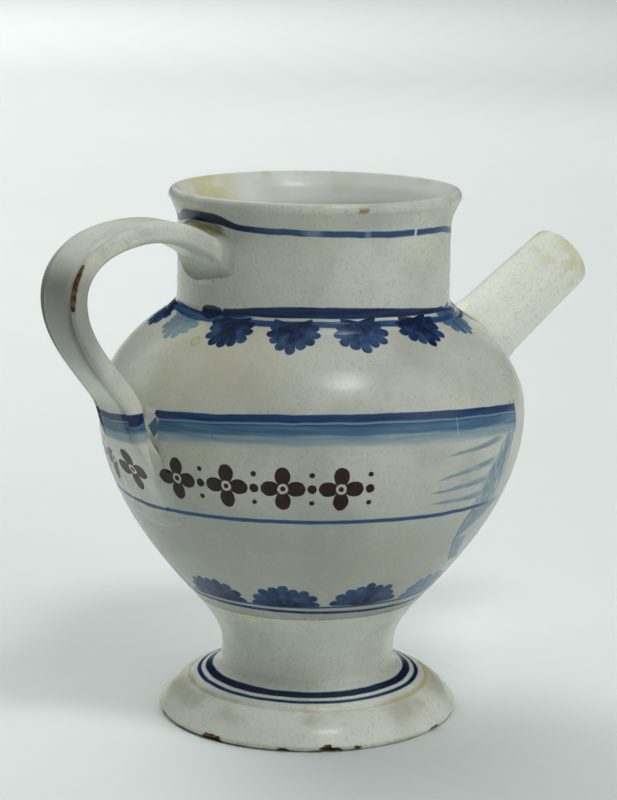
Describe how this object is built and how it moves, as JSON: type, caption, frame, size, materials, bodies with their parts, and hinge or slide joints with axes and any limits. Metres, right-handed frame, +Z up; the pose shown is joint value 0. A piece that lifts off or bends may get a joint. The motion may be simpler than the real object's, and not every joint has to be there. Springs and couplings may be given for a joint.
{
  "type": "wet drug jar",
  "caption": "Bellied pottery jar on a hollow pedestal foot, with a straight neck, a rising tubular spout and a strap handle, tin glazed with blue bands and fan flowers, for pouring syrups.",
  "frame": {"origin": "centre of the ring that the foot rests on", "axes": "+Z up along the jar's axis, +X towards the spout, handle at -X, the jar is symmetric about the XZ plane"},
  "size_m": [0.2468, 0.1594, 0.2],
  "materials": {
    "foot_glaze": "glossy off-white tin glaze with blue rings, worn to buff clay on the edge it rests on",
    "painted_glaze": "glossy off-white tin glaze painted with blue bands and fan flowers",
    "neck_glaze": "glossy crackled off-white tin glaze with blue lines",
    "spout_glaze": "glossy off-white tin glaze, stained yellow at the end",
    "handle_glaze": "glossy off-white tin glaze, chipped to buff clay on one edge"
  },
  "bodies": {
    "root": {"pedestal_foot": "foot_glaze", "bowl": "painted_glaze", "neck_collar": "neck_glaze", "neck_seam_ring": "neck_glaze", "spout": "spout_glaze", "spout_lute": "spout_glaze", "handle": "handle_glaze", "handle_upper_lute": "handle_glaze", "handle_lower_lute": "handle_glaze"}
  },
  "joints": []
}
